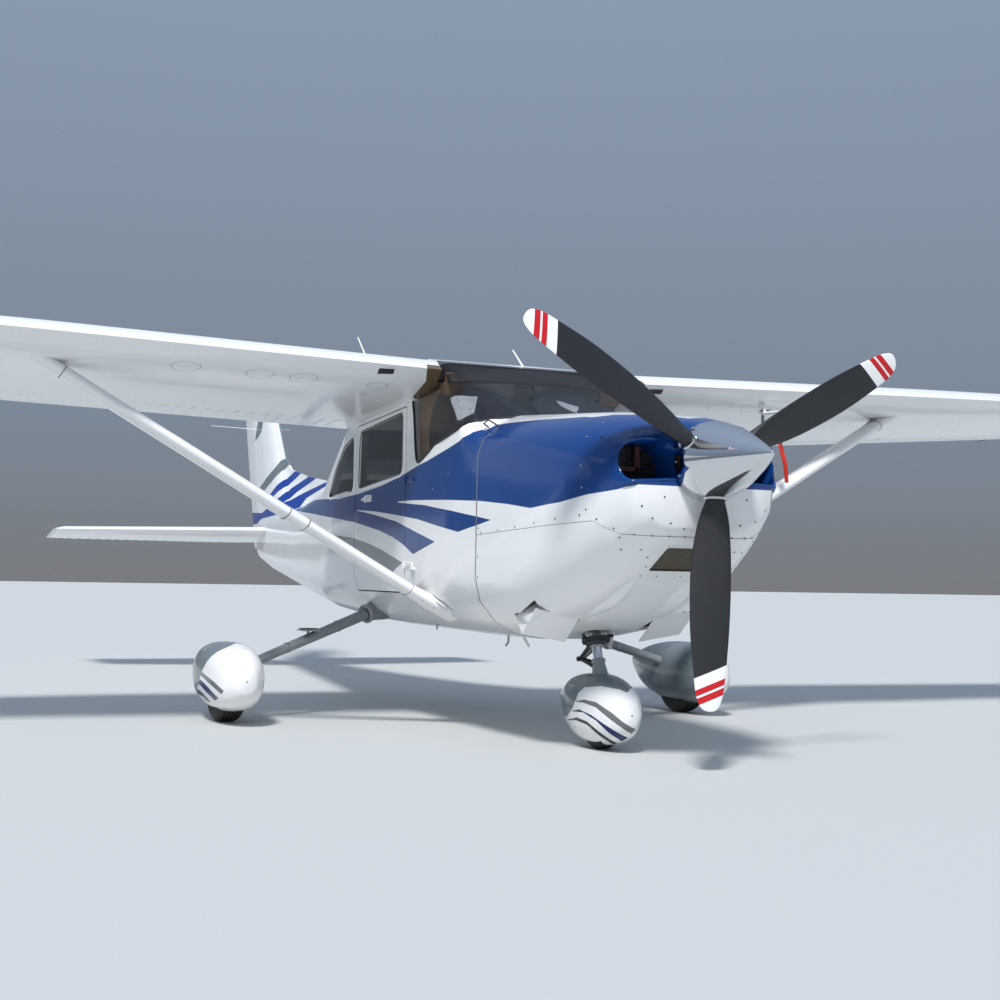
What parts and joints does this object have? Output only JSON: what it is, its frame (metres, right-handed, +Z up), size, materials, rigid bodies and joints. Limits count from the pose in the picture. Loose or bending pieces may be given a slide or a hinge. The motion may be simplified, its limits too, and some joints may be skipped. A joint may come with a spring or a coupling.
{
  "type": "light aircraft",
  "caption": "High-wing single-engine light aircraft with strutted wings, a three-blade propeller and fixed tricycle gear in wheel pants, with doors and controls that move",
  "frame": {"origin": "on the ground at the middle of the bounding box", "axes": "+Z up, +Y aft towards the tail so the propeller is at -Y, +X to the aircraft's left wing"},
  "size_m": [10.97, 8.8399, 2.84],
  "materials": {
    "cast_engine": "satin",
    "steel": "satin",
    "white_skin": "gloss",
    "blue_skin": "gloss",
    "white_shell": "gloss",
    "blue_shell": "gloss",
    "pane": "gloss",
    "tan_leather": "satin",
    "tan_lining": "matte",
    "dark_panel": "matte",
    "leg_paint": "gloss",
    "wheel_metal": "satin",
    "tyre_rubber": "matte",
    "bright_fork": "polished",
    "blade_metal": "matte",
    "mirror_spinner": "polished"
  },
  "bodies": {
    "airframe": {"engine_block": "cast_engine", "exhaust_pipe": "steel", "firewall": "steel", "nose_strut": "steel", "belly": "white_skin", "roof": "white_skin", "tailplane": "white_skin", "fin": "white_skin", "tail_cone": "white_skin", "wing_left": "white_skin", "wing_right": "white_skin", "flap_left": "white_skin", "flap_right": "white_skin", "wing_strut_left": "white_skin", "wing_strut_right": "white_skin", "cabin_side_left": "blue_skin", "cabin_side_right": "blue_skin", "cowl_lower": "white_shell", "cowl_flap_left": "white_shell", "cowl_flap_right": "white_shell", "main_pant_left": "white_shell", "main_pant_right": "white_shell", "wing_tip_left": "white_shell", "wing_tip_right": "white_shell", "cowl_upper": "blue_shell", "windshield": "pane", "rear_window": "pane", "side_window_left": "pane", "side_window_right": "pane", "seat_left": "tan_leather", "seat_right": "tan_leather", "rear_bench": "tan_leather", "rear_bulkhead": "tan_lining", "instrument_panel": "dark_panel", "gear_leg_left": "leg_paint", "gear_leg_right": "leg_paint"},
    "propeller_set": {"propeller": "blade_metal", "spinner": "mirror_spinner"},
    "main_wheel_set_left": {"main_wheel_left": "wheel_metal", "main_tyre_left": "tyre_rubber"},
    "main_wheel_set_right": {"main_wheel_right": "wheel_metal", "main_tyre_right": "tyre_rubber"},
    "nose_steering_set": {"nose_fork": "bright_fork", "nose_pant": "white_shell"},
    "nose_wheel_set": {"nose_wheel": "wheel_metal", "nose_tyre": "tyre_rubber"},
    "door_set_left": {"door_left": "blue_skin", "door_window_left": "pane"},
    "door_set_right": {"door_right": "blue_skin", "door_window_right": "pane"},
    "baggage_door_set": {"baggage_door": "blue_skin"},
    "aileron_set_left": {"aileron_left": "white_skin"},
    "aileron_set_right": {"aileron_right": "white_skin"},
    "elevator_set": {"elevator": "white_skin"},
    "rudder_set": {"rudder": "white_skin"}
  },
  "joints": [
    {"name": "propeller_shaft", "type": "hinge", "parent": "airframe", "child": "propeller_set", "pos_m": [0, -3.986, 1.304], "axis": [0, 0.9999, -0.0157], "continuous": true},
    {"name": "main_axle_left", "type": "hinge", "parent": "airframe", "child": "main_wheel_set_left", "pos_m": [1.412, -1.287, 0.2], "axis": [1, 0, 0], "continuous": true},
    {"name": "main_axle_right", "type": "hinge", "parent": "airframe", "child": "main_wheel_set_right", "pos_m": [-1.412, -1.287, 0.2], "axis": [1, 0, 0], "continuous": true},
    {"name": "nose_steering", "type": "hinge", "parent": "airframe", "child": "nose_steering_set", "pos_m": [0, -2.9, 0.506], "axis": [0, 0.2924, 0.9563], "range_deg": [-30, 30]},
    {"name": "nose_axle", "type": "hinge", "parent": "nose_steering_set", "child": "nose_wheel_set", "pos_m": [0, -2.967, 0.155], "axis": [1, 0, 0], "continuous": true},
    {"name": "door_hinge_left", "type": "hinge", "parent": "airframe", "child": "door_set_left", "pos_m": [0.556, -1.687, 1.2], "axis": [0, 0, -1], "range_deg": [0, 80]},
    {"name": "door_hinge_right", "type": "hinge", "parent": "airframe", "child": "door_set_right", "pos_m": [-0.556, -1.687, 1.2], "axis": [0, 0, 1], "range_deg": [0, 80]},
    {"name": "baggage_door_hinge", "type": "hinge", "parent": "airframe", "child": "baggage_door_set", "pos_m": [0.551, -0.56, 1.07], "axis": [0, 0, -1], "range_deg": [0, 100]},
    {"name": "aileron_hinge_left", "type": "hinge", "parent": "airframe", "child": "aileron_set_left", "pos_m": [3.1, -0.97513, 1.82395], "axis": [0.991, -0.1218, 0.056], "range_deg": [-20, 20]},
    {"name": "aileron_hinge_right", "type": "hinge", "parent": "airframe", "child": "aileron_set_right", "pos_m": [-3.1, -0.97513, 1.82395], "axis": [0.991, 0.1218, -0.056], "range_deg": [-20, 20]},
    {"name": "elevator_hinge", "type": "hinge", "parent": "airframe", "child": "elevator_set", "pos_m": [0, 3.313, 1.09908], "axis": [1, 0, 0], "range_deg": [-17, 26]},
    {"name": "rudder_hinge", "type": "hinge", "parent": "airframe", "child": "rudder_set", "pos_m": [0, 3.4, 1.01], "axis": [0, 0.3197, 0.9475], "range_deg": [-24, 24]}
  ],
  "couplings": [
    {"joint": "aileron_hinge_right", "follows": "aileron_hinge_left", "ratio": -1}
  ]
}
